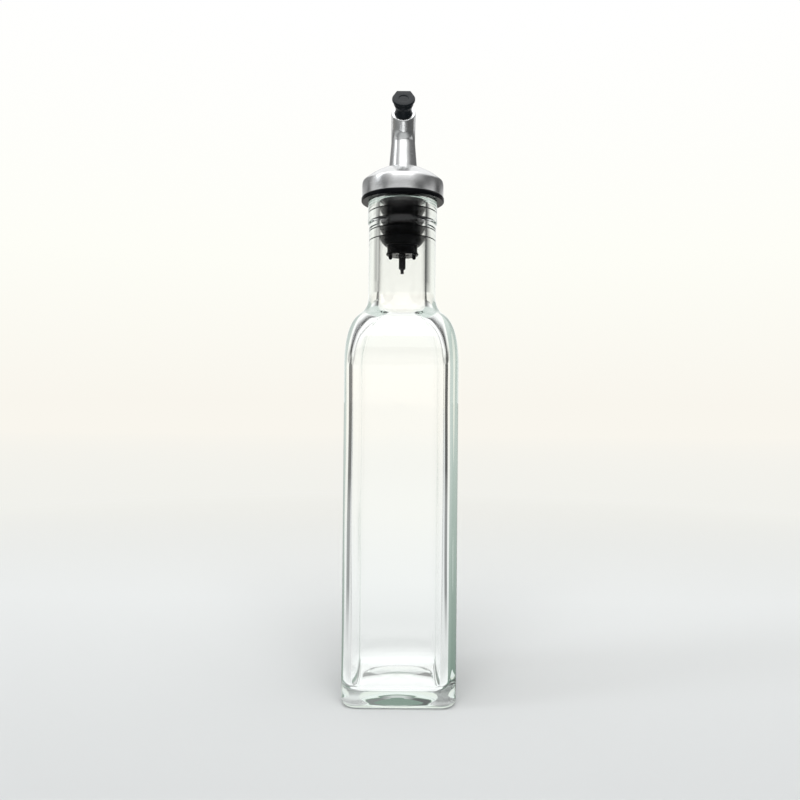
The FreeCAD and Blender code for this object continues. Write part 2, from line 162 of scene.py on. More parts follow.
class MetalSizes(bpy.types.PropertyGroup):
    """Sizes and colour of the collar and the spout."""

    collar_wall: millimetres("Collar wall", "Thickness of the pressed sheet", 0.9)
    hem: millimetres("Hem", "Round of the collar's lower edge", 0.3)
    brow: millimetres("Brow", "Round between the collar's side and its dome", 1.5)
    side: millimetres("Side", "Height of the collar's upright side", 6.6)
    dome_rise: millimetres("Dome rise", "Side to the foot of the spout", 6.6)
    dome_radius: millimetres("Dome", "Radius of the dome's arc", 27.0)
    spout_foot: millimetres("Spout foot", "Radius where the spout leaves the dome", 6.05)
    spout_tip: millimetres("Spout tip", "Radius at the spout's mouth", 5.15)
    spout_wall: millimetres("Spout wall", "Thickness of the tube", 1.35)
    taper: millimetres("Taper", "Dome to the start of the bend", 10.8)
    bend_radius: millimetres("Bend", "Radius of the bend", 9.0)
    bend_angle: bpy.props.FloatProperty(
        name="Bend angle", description="How far the spout leans", default=math.radians(55.6),
        subtype="ANGLE",
    )
    straight: millimetres("Straight", "Bend to mouth", 5.0)
    rim: millimetres("Rim", "Round of the spout's mouth", 0.45)
    steel: colour("Steel", "Colour of the satin steel", "#C9CACA")


class PlugSizes(bpy.types.PropertyGroup):
    """Sizes and colour of the plug in the spout."""

    stem: millimetres("Stem", "Radius of the stem in the spout", 3.3)
    stem_length: millimetres("Stem length", "Length of the stem in the spout", 6.0)
    seal: millimetres("Seal", "Length of the bead that fills the mouth", 1.2)
    waist: millimetres("Waist", "Radius of the neck's narrowest place", 3.45)
    neck: millimetres("Neck", "Spout's mouth to the ridge", 4.25)
    ridge: millimetres("Ridge", "Radius of the ridge", 4.1)
    ridge_height: millimetres("Ridge height", "Height of the ridge", 1.2)
    groove: millimetres("Groove", "Radius of the groove over the ridge", 3.75)
    groove_height: millimetres("Groove height", "Height of that groove", 0.4)
    head: millimetres("Head", "Radius of the head", 4.8)
    head_height: millimetres("Head height", "Height of the head", 1.2)
    head_round: millimetres("Head round", "Round of the head's edges", 0.3)
    tab_reach: millimetres("Tab reach", "Middle of the head to the tab's flat end", 5.2)
    tab_width: millimetres("Tab width", "Width of the tab's flat end", 5.8)
    tab_shoulder: millimetres("Tab shoulder", "Where the tab leaves the round head", 1.6)
    dimple: millimetres("Dimple", "Radius of the flat-bottomed hollow in the head", 2.1)
    dimple_slope: millimetres("Dimple slope", "How much narrower its bottom is", 0.15)
    dimple_depth: millimetres("Dimple depth", "Depth of that hollow", 0.25)
    rubber: colour("Rubber", "Colour of the soft plastic", "#12171B")


class StageSettings(bpy.types.PropertyGroup):
    """The floor, the light and the camera."""

    camera_back: millimetres("Camera distance", "Bottle's axis to the camera", 330.0)
    camera_height: millimetres("Camera height", "Floor to the camera", 124.0)
    camera_aside: millimetres("Camera aside", "How far left of the axis the camera stands", 0.43)
    focal: millimetres("Focal length", "Focal length on a 36 mm wide sensor", 34.29)
    roll: bpy.props.FloatProperty(
        name="Roll", description="Lean of the camera", default=math.radians(0.5), subtype="ANGLE"
    )
    tilt: bpy.props.FloatProperty(
        name="Tilt", description="How far the camera looks up", default=math.radians(0.15),
        subtype="ANGLE",
    )
    near: colour("Near floor", "Colour of the floor at the front", "#D9DBDB")
    middle: colour("Middle floor", "Colour of the floor behind the bottle", "#EBEDEC")
    back: colour("Back floor", "Colour of the floor well behind the bottle", "#F1F1EC")
    far: colour("Far floor", "Colour where the floor meets the backdrop", "#F9F6EE")
    wall: colour("Backdrop", "Colour of the backdrop behind the neck", "#FEFEF7")
    # Through and beneath are strengths of the board's painted glow as seen through the glass; beneath
    # paints a pool of light under the bottle.
    through: number("Through", "Brightness of the near floor through the glass", 1.06)
    painted_pool: number("Beneath", "Brightness of the floor under the bottle through the glass", 1.5)
    ceiling: number("Ceiling", "Brightness of the ceiling that the metal mirrors", 1.4)
    fill: number("Fill", "Light that comes from all round", 0.55)


def to_linear(hex_colour):
    """Linear RGBA from an sRGB hex value."""
    linear = []
    for index in (1, 3, 5):
        value = int(hex_colour[index:index + 2], 16) / 255
        linear.append(value / 12.92 if value <= 0.04045 else ((value + 0.055) / 1.055) ** 2.4)
    return (*linear, 1.0)


# ---------------------------------------------------------------- shapes


def arc(centre, radius, start, end, steps):
    """Points of an arc about centre, with both ends; the angles are in degrees."""
    points = []
    for index in range(steps + 1):
        angle = math.radians(start + (end - start) * index / steps)
        points.append((centre[0] + radius * math.cos(angle), centre[1] + radius * math.sin(angle)))
    return points


def finish_piece(bm, name, material, node, sharp_angle=38):
    """Make the mesh a piece that stands for its CAD node."""
    bmesh.ops.remove_doubles(bm, verts=bm.verts, dist=0.0008 * MM)
    bmesh.ops.recalc_face_normals(bm, faces=bm.faces)
    for face in bm.faces:
        face.smooth = True
    for edge in bm.edges:
        edge.smooth = edge.calc_face_angle(0) < math.radians(sharp_angle)
    mesh = bpy.data.meshes.new(name)
    bm.to_mesh(mesh)
    bm.free()
    mesh.materials.append(material)
    piece = bpy.data.objects.new(name, mesh)
    bpy.context.scene.collection.objects.link(piece)
    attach(piece, "root")
    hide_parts(node)
    return piece


def turned(outline, steps):
    """Closed outline of (radius, height, round) in millimetres, spun about the upright axis."""
    bm = bmesh.new()
    corners = [bm.verts.new((radius * MM, 0, height * MM)) for radius, height, _ in outline]
    bm.faces.new(corners)
    for corner, (_, _, rounding) in zip(corners, outline):
        if rounding:
            bmesh.ops.bevel(
                bm, geom=[corner], offset=rounding * MM, offset_type="OFFSET",
                affect="VERTICES", segments=4, profile=0.5, material=-1,
            )
    bmesh.ops.delete(bm, geom=list(bm.faces), context="FACES_ONLY")
    bmesh.ops.spin(
        bm, geom=list(bm.verts) + list(bm.edges), cent=(0, 0, 0), axis=(0, 0, 1),
        angle=FULL_TURN, steps=steps, use_merge=True,
    )
    return bm


def lofted(rings, steps):
    """Skin through rings. Each ring is a function from an angle to a point in millimetres."""
    bm = bmesh.new()
    turn = bm.verts.layers.float.new("turn")
    bmesh.ops.create_circle(bm, cap_ends=False, radius=1, segments=steps)
    for vert in bm.verts:
        vert[turn] = math.atan2(vert.co.y, vert.co.x)
        vert.co = rings[0](vert[turn]) * MM
    edges = list(bm.edges)
    for ring in rings[1:]:
        grown = bmesh.ops.extrude_edge_only(bm, edges=edges)["geom"]
        edges = [item for item in grown if isinstance(item, bmesh.types.BMEdge)]
        for item in grown:
            if isinstance(item, bmesh.types.BMVert):
                item.co = ring(item[turn]) * MM
    return bm


def square_reach(angle, near, corner):
    """Distance to the edge of a rounded square along an angle; near is flat half-length."""
    across = abs(math.cos(angle))
    along = abs(math.sin(angle))
    if along > across:
        across, along = along, across
    half = near + corner
    if half * along <= near * across:
        return half / across
    middle = near * (across + along)
    return middle + math.sqrt(max(0, middle**2 - 2 * near**2 + corner**2))


def square_ring(near, corner, height, shift=(0, 0), ripple=0):
    """Ring of a rounded square that may sit off centre and waver a little."""
    def place(turn):
        # Most points go to the corners, where the glass bends the light most.
        angle = turn + 0.16 * math.sin(4 * turn)
        reach = square_reach(angle, near, corner)
        if ripple:
            wave = math.sin(2 * angle + height / 11) + math.sin(3 * angle - height / 17 + 1)
            reach += ripple * wave / 2
        return Vector((
            shift[0] + reach * math.cos(angle), shift[1] + reach * math.sin(angle), height
        ))
    return place


def shoulder_shares(glass, steps):
    """(share, rise) down the shoulder: share is 0 at the neck and 1 on the square body."""
    turn_rise = glass.root + glass.turn * (glass.fullness - glass.root)
    shares = []
    for poles in (
        [(0, 1), (0, glass.root), (glass.turn, turn_rise)],
        [(glass.turn, turn_rise), (1, glass.fullness), (1, 0)],
    ):
        for index in range(steps):
            t = (index + 1) / steps
            weights = ((1 - t) ** 2, 2 * t * (1 - t), t**2)
            share = sum(weight * pole[0] for weight, pole in zip(weights, poles))
            rise = sum(weight * pole[1] for weight, pole in zip(weights, poles))
            shares.append((share, rise))
    return shares


def outer_glass_rings(glass):
    """Rings from the middle of the underside, up the outside to the mouth."""
    half = GLASS_HIGH[0]
    near = half - glass.corner
    rings = []
    punt_sphere = (glass.punt_radius**2 + glass.punt_depth**2) / (2 * glass.punt_depth)
    for index in range(13):
        radius = glass.punt_radius * index / 12
        height = glass.punt_depth - punt_sphere + math.sqrt(punt_sphere**2 - radius**2)
        rings.append(square_ring(0, radius, max(0, height)))
    for share in (0.25, 0.5, 0.75):
        heel_corner = glass.corner - glass.heel
        corner = glass.punt_radius + share * (heel_corner - glass.punt_radius)
        rings.append(square_ring(share * near, corner, 0))
    for inset, height in arc((glass.corner - glass.heel, glass.heel), glass.heel, -90, 0, 12):
        rings.append(square_ring(near, inset, height))
    foot = glass.heel
    for index in range(1, 40):
        height = foot + (glass.body_height - foot) * index / 40
        rings.append(square_ring(near, glass.corner, height))
    rings.append(square_ring(near, glass.corner, glass.body_height))
    for share, rise in reversed(shoulder_shares(glass, 28)[:-1]):
        corner = glass.neck + share * (glass.corner - glass.neck)
        rings.append(square_ring(share * near, corner, glass.body_height + rise * glass.shoulder))
    return rings


def neck_rings(glass):
    """Rings from the foot of the neck over the mouth."""
    finish = glass.neck + glass.finish_proud
    finish_foot = MOUTH_Z - glass.finish_height
    slope_foot = finish_foot - glass.finish_slope
    outline = [(glass.neck, glass.body_height + glass.shoulder), (glass.neck, slope_foot - 2)]
    for index in range(9):
        share = index / 8
        ease = (1 - math.cos(math.pi * share)) / 2
        outline.append((glass.neck + glass.finish_proud * ease, slope_foot + share * glass.finish_slope))
    # A ring close to each end of a round keeps the shading of the straight beside it straight.
    outline.append((finish, finish_foot + 2))
    outline.append((finish, MOUTH_Z - glass.lip_round - 0.08))
    lip_centre = (finish - glass.lip_round, MOUTH_Z - glass.lip_round)
    outline.extend(arc(lip_centre, glass.lip_round, 0, 90, 8))
    mouth_centre = (glass.bore + glass.mouth_round, MOUTH_Z - glass.mouth_round)
    outline.extend(arc(mouth_centre, glass.mouth_round, 90, 180, 8))
    outline.append((glass.bore, MOUTH_Z - glass.mouth_round - 0.08))
    return [square_ring(0, radius, height) for radius, height in outline]


def inner_glass_rings(glass):
    """Rings from the mouth down the bore and the inner walls to the middle of the floor."""
    half = GLASS_HIGH[0] - glass.wall
    near = half - glass.cavity_corner
    top = glass.body_height - glass.shoulder_drop
    neck_foot = top + glass.shoulder
    shift = (glass.shift_across, glass.shift_along)
    rings = []
    for index in range(1, 8):
        height = MOUTH_Z + (neck_foot - MOUTH_Z) * index / 8
        rings.append(square_ring(0, glass.bore, height))
    rings.append(square_ring(0, glass.bore, neck_foot))
    for share, rise in shoulder_shares(glass, 28):
        corner = glass.bore + share * (glass.cavity_corner - glass.bore)
        height = top + rise * glass.shoulder
        part_shift = (share * shift[0], share * shift[1])
        rings.append(square_ring(share * near, corner, height, part_shift, share * glass.ripple))
    floor = glass.base + glass.floor_edge
    for index in range(1, 60):
        height = top + (floor - top) * index / 60
        rings.append(square_ring(near, glass.cavity_corner, height, shift, glass.ripple))
    edge_centre = (glass.cavity_corner - glass.floor_edge, floor)
    for corner, height in arc(edge_centre, glass.floor_edge, 0, -90, 12):
        rings.append(square_ring(near, corner, height, shift, glass.ripple))
    reach = half - glass.floor_edge
    sphere = (reach**2 + glass.crown**2) / (2 * glass.crown)
    for index in range(11, -1, -1):
        share = index / 12
        height = glass.base + glass.crown - sphere + math.sqrt(sphere**2 - (share * reach) ** 2)
        corner = share * (glass.cavity_corner - glass.floor_edge)
        rings.append(square_ring(share * near, corner, height, shift, share * glass.ripple))
    return rings


# ---------------------------------------------------------------- materials


def new_material(name):
    """Empty node material with its output; returns the material, its tree and the output."""
    material = bpy.data.materials.new(name)
    material.use_nodes = True
    tree = material.node_tree
    tree.nodes.clear()
    return material, tree, tree.nodes.new("ShaderNodeOutputMaterial")


def add(tree, kind, settings=None, links=None):
    """Add a node. settings go to its sockets or attributes; links name sockets and their sources."""
    node = tree.nodes.new(kind)
    for name, value in (settings or {}).items():
        if isinstance(name, int) or name in node.inputs:
            node.inputs[name].default_value = value
        else:
            setattr(node, name, value)
    for name, source in (links or {}).items():
        tree.links.new(source, node.inputs[name])
    return node


def ramp(tree, source, stops, interpolation="LINEAR"):
    """Colour ramp through (position, colour) stops."""
    node = add(tree, "ShaderNodeValToRGB", {}, {"Fac": source})
    node.color_ramp.interpolation = interpolation
    elements = node.color_ramp.elements
    while len(elements) > len(stops):
        elements.remove(elements[-1])
    while len(elements) < len(stops):
        elements.new(1)
    for element, (position, value) in zip(elements, stops):
        element.position = position
        element.color = value
    return node


def grey(value):
    """Grey of a linear value."""
    return (value, value, value, 1)


TRAPPED_TURNS = 2.5           # reflections inside a wall after which a ray ends on a painted glow
CLEAR_HEIGHT = 110 * MM       # above this the painted glow is as pale as it gets; lower down it is painted darker


def moulded_soda_glass(glass):
    """Soda-lime container glass, blown in a mould: clear, faintly green where it is thick."""
    material, tree, output = new_material("moulded soda-lime glass")
    place = add(tree, "ShaderNodeTexCoord").outputs["Object"]
    # The mould leaves slow waves about a centimetre long, which bend what is seen through it.
    waves = add(
        tree, "ShaderNodeTexNoise", {"Scale": 1 / (14 * MM), "Detail": 1.0}, {"Vector": place}
    )
    skin = add(
        tree, "ShaderNodeBump", {"Strength": 0.25, "Distance": 0.12 * MM},
        {"Height": waves.outputs["Fac"]},
    )
    shader = add(
        tree, "ShaderNodeBsdfPrincipled",
        {"Base Color": (1, 1, 1, 1), "Roughness": 0.0, "IOR": 1.52, "Transmission Weight": 1.0},
        {"Normal": skin.outputs["Normal"]},
    )
    tint = add(
        tree, "ShaderNodeVolumeAbsorption",
        {"Color": to_linear(glass.tint), "Density": glass.depth},
    )
    # Rays that have run to and fro inside the walls end on a painted glow, pale green and painted darker
    # towards the base, in place of the light they would carry.
    turns = add(tree, "ShaderNodeLightPath").outputs["Glossy Depth"]
    spent = add(tree, "ShaderNodeMath", {"operation": "GREATER_THAN", 1: TRAPPED_TURNS}, {0: turns})
    height = add(tree, "ShaderNodeSeparateXYZ", {}, {"Vector": place}).outputs["Z"]
    share = add(tree, "ShaderNodeMapRange", {"From Max": CLEAR_HEIGHT}, {"Value": height})
    shade = ramp(tree, share.outputs["Result"], [
        (0.05, to_linear(glass.painted_glow_low)), (1.0, to_linear(glass.painted_glow)),
    ])
    painted_glow = add(tree, "ShaderNodeEmission", {}, {"Color": shade.outputs["Color"]})
    mixed = add(tree, "ShaderNodeMixShader", {}, {"Fac": spent.outputs["Value"]})
    tree.links.new(shader.outputs["BSDF"], mixed.inputs[1])
    tree.links.new(painted_glow.outputs["Emission"], mixed.inputs[2])
    tree.links.new(mixed.outputs["Shader"], output.inputs["Surface"])
    tree.links.new(tint.outputs["Volume"], output.inputs["Volume"])
    return material


def satin_steel(metal):
    """Stainless steel, spun and brushed to a satin: broad highlights, fine rings round the axis."""
    material, tree, output = new_material("satin stainless steel")
    place = add(tree, "ShaderNodeTexCoord").outputs["Object"]
    # Brush lines are about 0.05 mm apart; they are drawn at 0.25 mm, so that they show.
    rings = add(
        tree, "ShaderNodeMapping", {"Scale": (1 / (9 * MM), 1 / (9 * MM), 1 / (0.25 * MM))},
        {"Vector": place},
    )
    brushing = add(
        tree, "ShaderNodeTexNoise", {"Scale": 1.0, "Detail": 3.0}, {"Vector": rings.outputs["Vector"]}
    )
    clouds = add(
        tree, "ShaderNodeTexNoise", {"Scale": 1 / (6 * MM), "Detail": 2.0}, {"Vector": place}
    )
    rough = add(
        tree, "ShaderNodeMapRange", {"To Min": 0.2, "To Max": 0.3},
        {"Value": brushing.outputs["Fac"]},
    )
    steel = to_linear(metal.steel)
    dull = tuple(value * 0.92 for value in steel[:3]) + (1,)
    shade = ramp(tree, clouds.outputs["Fac"], [(0.3, dull), (0.7, steel)])
    skin = add(
        tree, "ShaderNodeBump", {"Strength": 0.2, "Distance": 0.01 * MM},
        {"Height": brushing.outputs["Fac"]},
    )
    shader = add(
        tree, "ShaderNodeBsdfPrincipled", {"Metallic": 1.0},
        {
            "Base Color": shade.outputs["Color"],
            "Roughness": rough.outputs["Result"],
            "Normal": skin.outputs["Normal"],
        },
    )
    tree.links.new(shader.outputs["BSDF"], output.inputs["Surface"])
    return material


def moulded_black(name, hex_colour, roughness, ior, grain, gloss):
    """Black moulded rubber or plastic with a fine skin and a little lighter where it is rubbed."""
    material, tree, output = new_material(name)
    place = add(tree, "ShaderNodeTexCoord").outputs["Object"]
    skin_noise = add(
        tree, "ShaderNodeTexNoise", {"Scale": 1 / (grain * MM), "Detail": 4.0}, {"Vector": place}
    )
    clouds = add(
        tree, "ShaderNodeTexNoise", {"Scale": 1 / (3 * MM), "Detail": 2.0}, {"Vector": place}
    )
    base = to_linear(hex_colour)
    rubbed = tuple(min(1, value * 1.5) for value in base[:3]) + (1,)
    shade = ramp(tree, clouds.outputs["Fac"], [(0.4, base), (0.8, rubbed)])
    rough = add(
        tree, "ShaderNodeMapRange", {"To Min": roughness * 0.85, "To Max": roughness * 1.15},
        {"Value": skin_noise.outputs["Fac"]},
    )
    skin = add(
        tree, "ShaderNodeBump", {"Strength": 0.15, "Distance": 0.02 * MM},
        {"Height": skin_noise.outputs["Fac"]},
    )
    shader = add(
        tree, "ShaderNodeBsdfPrincipled", {"IOR": ior, "Specular IOR Level": gloss},
        {
            "Base Color": shade.outputs["Color"],
            "Roughness": rough.outputs["Result"],
            "Normal": skin.outputs["Normal"],
        },
    )
    tree.links.new(shader.outputs["BSDF"], output.inputs["Surface"])
    return material


# ---------------------------------------------------------------- pieces


class OBJECT_OT_oil_bottle_glass(bpy.types.Operator):
    """Square body, rounded shoulder and neck as one skin, outside and inside"""

    bl_idname = "oil_bottle.glass"
    bl_label = "Glass"

    def execute(self, context):
        glass = context.scene.bottle_glass
        rings = outer_glass_rings(glass) + neck_rings(glass) + inner_glass_rings(glass)
        bm = lofted(rings, 240)
        finish_piece(bm, "glass_bottle", moulded_soda_glass(glass), "bottle", 60)
        return {"FINISHED"}


class OBJECT_OT_oil_bottle_sleeve(bpy.types.Operator):
    """Soft ribbed stopper whose rims press into the bore"""

    bl_idname = "oil_bottle.sleeve"
    bl_label = "Ribbed stopper"

    def execute(self, context):
        sizes = context.scene.bottle_sleeve
        bore = SLEEVE_HIGH[0]
        foot = SLEEVE_LOW[2]
        slant = math.atan2(sizes.depth, bore - sizes.core)
        outline = [
            (sizes.stem, foot, 0),
            (sizes.stem, MOUTH_Z, 0),
            (bore - sizes.head_gap, MOUTH_Z, 0.15),
            (sizes.core, MOUTH_Z - sizes.head_height, 0.3),
        ]
        for index in range(sizes.fin_count):
            rim_top = MOUTH_Z - sizes.first_fin - index * sizes.pitch + sizes.rim / 2
            rim_foot = rim_top - sizes.rim
            outline.extend([
                (sizes.core, rim_top, 0.2),
                (bore + sizes.bite, rim_top, 0.08),
                (bore + sizes.bite, rim_foot, 0.08),
            ])
            for step in range(1, 6):
                share = step / 6
                swell = 4 * sizes.bulge * share * (1 - share)
                radius = bore + share * (sizes.core - bore) + swell * math.sin(slant)
                outline.append((radius, rim_foot - share * sizes.depth - swell * math.cos(slant), 0))
            outline.append((sizes.core, rim_foot - sizes.depth, 0.15))
        rubber = moulded_black("moulded black rubber", sizes.rubber, 0.28, 1.5, 0.35, 0.05)
        finish_piece(turned(outline, 160), "ribbed_stopper", rubber, "sleeve")
        return {"FINISHED"}


class OBJECT_OT_oil_bottle_insert(bpy.types.Operator):
    """Finish of the hard insert and of its breather tube"""

    bl_idname = "oil_bottle.insert"
    bl_label = "Insert and breather tube"

    def execute(self, context):
        rubber = context.scene.bottle_sleeve.rubber
        plastic = moulded_black("moulded black polypropylene", rubber, 0.2, 1.49, 0.25, 0.05)
        for node in ("insert", "vent_tube"):
            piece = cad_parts[node]
            piece.data.materials.clear()
            piece.data.materials.append(plastic)
        return {"FINISHED"}


def dome_arc(metal, inset, steps):
    """Arc of the collar's dome from its side in to the spout, moved inwards by inset."""
    outer = COLLAR_HIGH[0]
    dome_foot = COLLAR_LOW[2] + metal.side
    low = Vector((outer, dome_foot))
    high = Vector((metal.spout_foot, dome_foot + metal.dome_rise))
    chord = high - low
    inward = Vector((-chord.y, chord.x)).normalized()
    centre = (low + high) / 2 + inward * math.sqrt(metal.dome_radius**2 - chord.length_squared / 4)
    radius = metal.dome_radius - inset
    ends = []
    for reach in (outer - inset, metal.spout_foot):
        rise = math.sqrt(radius**2 - (reach - centre.x) ** 2)
        ends.append(math.degrees(math.atan2(rise, reach - centre.x)))
    return arc(centre, radius, ends[0], ends[1], steps)


class OBJECT_OT_oil_bottle_collar(bpy.types.Operator):
    """Pressed and spun cap over the mouth"""

    bl_idname = "oil_bottle.collar"
    bl_label = "Collar"

    def execute(self, context):
        metal = context.scene.bottle_metal
        outer = COLLAR_HIGH[0]
        foot = COLLAR_LOW[2]
        inner = outer - metal.collar_wall
        outline = [(inner, foot, 0.1), (outer, foot, metal.hem)]
        for index, (radius, height) in enumerate(dome_arc(metal, 0, 24)):
            outline.append((radius, height, 0 if index else metal.brow))
        for radius, height in reversed(dome_arc(metal, metal.collar_wall, 16)):
            outline.append((radius, height, 0))
        steel = satin_steel(metal)
        finish_piece(turned(outline, 192), "steel_collar", steel, "collar")
        return {"FINISHED"}


def spout_frame(metal, length):
    """Centre, lean and radius of the spout at a length above the collar's dome."""
    bend_z = COLLAR_HIGH[2] + metal.taper
    bend_length = metal.bend_radius * metal.bend_angle
    if length <= metal.taper:
        share = max(0, length / metal.taper)
        radius = metal.spout_foot + share * (metal.spout_tip - metal.spout_foot)
        return Vector((0, 0, COLLAR_HIGH[2] + length)), 0, radius
    lean = min(metal.bend_angle, (length - metal.taper) / metal.bend_radius)
    past = max(0, length - metal.taper - bend_length)
    centre = Vector((
        0,
        -metal.bend_radius * (1 - math.cos(lean)) - past * math.sin(lean),
        bend_z + metal.bend_radius * math.sin(lean) + past * math.cos(lean),
    ))
    return centre, lean, metal.spout_tip


def leaning_ring(centre, lean, radius):
    """Circle about a centre, leaning towards the front."""
    def place(turn):
        flat = Vector((radius * math.cos(turn), radius * math.sin(turn), 0))
        flat.rotate(Matrix.Rotation(lean, 3, "X"))
        return centre + flat
    return place


class OBJECT_OT_oil_bottle_spout(bpy.types.Operator):
    """Tapered tube that leans over at its bend"""

    bl_idname = "oil_bottle.spout"
    bl_label = "Spout"

    def execute(self, context):
        metal = context.scene.bottle_metal
        foot = SPOUT_LOW[2] - COLLAR_HIGH[2]
        mouth = metal.taper + metal.bend_radius * metal.bend_angle + metal.straight
        lengths = [foot, 0]
        lengths += [metal.taper * index / 10 for index in range(1, 10)]
        bend_length = metal.bend_radius * metal.bend_angle
        lengths += [metal.taper + bend_length * index / 20 for index in range(21)]
        lengths += [mouth - metal.straight * (1 - index / 5) for index in range(1, 5)]
        outside = []
        inside = []
        for length in lengths:
            centre, lean, radius = spout_frame(metal, length)
            outside.append(leaning_ring(centre, lean, radius))
            inside.append(leaning_ring(centre, lean, radius - metal.spout_wall))
        rim = []
        tip_centre, lean, tip = spout_frame(metal, mouth)
        along = Vector((0, -math.sin(lean), math.cos(lean)))
        for radius, rise in arc((tip - metal.rim, -metal.rim), metal.rim, 0, 90, 8):
            rim.append(leaning_ring(tip_centre + along * rise, lean, radius))
        bore = tip - metal.spout_wall
        for radius, rise in arc((bore + 0.15, -0.15), 0.15, 90, 180, 4):
            rim.append(leaning_ring(tip_centre + along * rise, lean, radius))
        rings = outside + rim + inside[::-1] + outside[:1]
        steel = bpy.data.materials["satin stainless steel"]
        finish_piece(lofted(rings, 128), "steel_spout", steel, "spout")
        return {"FINISHED"}


def tab_reach(plug, turn, inset):
    """Distance from the middle of the plug's head to its edge along an angle."""
    radius = plug.head - inset
    direction = Vector((math.cos(turn), math.sin(turn)))
    if direction.y <= plug.tab_shoulder / plug.head:
        return radius
    end = (plug.tab_reach - inset) / direction.y
    side = math.sqrt(plug.head**2 - plug.tab_shoulder**2)
    foot = Vector((side, plug.tab_shoulder))
    slant = Vector((plug.tab_width / 2, plug.tab_reach)) - foot
    normal = Vector((slant.y, -slant.x)).normalized()
    offset = foot.dot(normal) - inset
    facing = Vector((abs(direction.x), direction.y)).dot(normal)
    return min(end, offset / facing if facing > 0 else end)


class OBJECT_OT_oil_bottle_plug(bpy.types.Operator):
    """Plug with a waist, a ridge, and a head with a pull tab"""

    bl_idname = "oil_bottle.plug"
    bl_label = "Plug"

    def execute(self, context):
        metal = context.scene.bottle_metal
        plug = context.scene.bottle_plug
        mouth = metal.taper + metal.bend_radius * metal.bend_angle + metal.straight
        base, lean, tip = spout_frame(metal, mouth)
        bore = tip - metal.spout_wall
        ridge_top = plug.neck + plug.ridge_height
        head_foot = ridge_top + plug.groove_height
        head_top = head_foot + plug.head_height
        outline = [(0.0, -plug.stem_length)]
        stem_centre = (plug.stem - plug.head_round, plug.head_round - plug.stem_length)
        outline.extend(arc(stem_centre, plug.head_round, -90, 0, 4))
        outline.append((plug.stem, plug.stem - bore - plug.seal))
        outline.append((bore, -plug.seal))
        outline.append((bore, 0))
        # The waist is an arc from the spout's mouth to the ridge.
        middle = (bore + plug.ridge) / 2
        for index in range(1, 13):
            share = index / 12
            straight = bore + share * (plug.ridge - bore)
            hollow = 4 * share * (1 - share) * (middle - plug.waist)
            outline.append((straight - hollow, share * plug.neck))
        outline.extend(arc((plug.ridge - 0.2, ridge_top - 0.2), 0.2, 0, 90, 4))
        outline.append((plug.groove, ridge_top))
        outline.append((plug.groove, head_foot))
        rounding = plug.head_round
        edge = []
        for inset, height in arc((rounding, head_foot + rounding), rounding, 270, 180, 4):
            edge.append((inset, height))
        for inset, height in arc((rounding, head_top - rounding), rounding, 180, 90, 4):
            edge.append((inset, height))
        face = arc((plug.dimple + 0.1, head_top - 0.1), 0.1, 90, 145, 3)
        bottom = head_top - plug.dimple_depth
        well = plug.dimple - plug.dimple_slope
        face.extend([(well, bottom), (well * 0.8, bottom), (0.0, bottom)])
        tilt = Matrix.Rotation(lean, 3, "X")

        def round_ring(radius, height):
            return lambda turn: base + tilt @ Vector(
                (radius * math.cos(turn), radius * math.sin(turn), height)
            )

        def head_ring(inset, height):
            def place(turn):
                reach = tab_reach(plug, turn, inset)
                return base + tilt @ Vector(
                    (reach * math.cos(turn), reach * math.sin(turn), height)
                )
            return place

        rings = [round_ring(*point) for point in outline]
        rings += [head_ring(*point) for point in edge]
        rings += [round_ring(*point) for point in face]
        rubber = moulded_black("moulded black elastomer", plug.rubber, 0.3, 1.5, 0.3, 0.12)
        finish_piece(lofted(rings, 144), "spout_plug", rubber, "plug")
        return {"FINISHED"}


# ---------------------------------------------------------------- stage


# The room round the bottle, as an empty level and what stands in it. Each card or
# wall has its bearing, half its width, the width of its soft edge, all in degrees, and its level.
# A bearing of 0 is straight behind the bottle and 90 is to its right. Later cards cover earlier.
# At the body's height the room is white. The thick corners draw the dark cards as upright lines.
EMPTY_LOW = 1.1
CARDS_LOW = (
    (-68, 12, 6, 0.2),        # dark card on the left
    (70, 10, 6, 0.1),         # dark card on the right
    (-130, 3, 7, 0.2),        # narrow dark card, front left
    (135, 7, 18, 0.06),       # dark card, front right
)
# At the neck's height it is dark but for the back wall and three pale panels.
EMPTY_HIGH = 0.03
CARDS_HIGH = (
    (0, 20, 42, 1.1),         # back wall
    (-57, 6, 4, 0.6),         # left panel
    (-87, 7, 8, 0.8),         # far left panel
    (86, 5, 10, 0.7),         # far right panel
)
# What the satin metal mirrors.
EMPTY_MIRRORED = 0.2
CARDS_MIRRORED = (
    (180, 28, 40, 1.2),       # pale wall in front
    (-55, 30, 20, 0.38),      # left wall
    (-98, 8, 14, 0.95),       # window in it
    (0, 10, 15, 1.0),         # back wall
)
# Higher up the white back wall ends in an arch with a dark rim. These are shares of the way out
# from its middle to the rim: where the wall starts to darken, the rim, and where it is white again.
ARCH_FADE = 0.72
ARCH_RIM = 1.0
ARCH_RIM_END = 1.04
ARCH_OUTSIDE = 1.12
ARCH_DARK = 0.03
ARCH_HALF_WIDTH = 0.86        # of a direction one unit long
ARCH_HEIGHT = 0.71
ARCH_SQUARENESS = 2.7
FRONT_DARK = 0.02             # level of the room in front, high up
ROOM_PEAK = 1.25              # level that the top of a ramp stands for
# Where one part of the room turns into the next, as (start, end). Rises are the upward share of
# a direction one unit long, and ahead is its share towards the back.
BODY_TO_NECK_RISE = (0.12, 0.15)
NECK_TO_ARCH_RISE = (0.2, 0.28)
FRONT_TO_ARCH_AHEAD = (-0.7, -0.55)
MIRRORED_NECK_RISE = (0.12, 0.2)
MIRRORED_METAL_RISE = (0.25, 0.262)
CEILING_RISE = (0.5, 0.62)
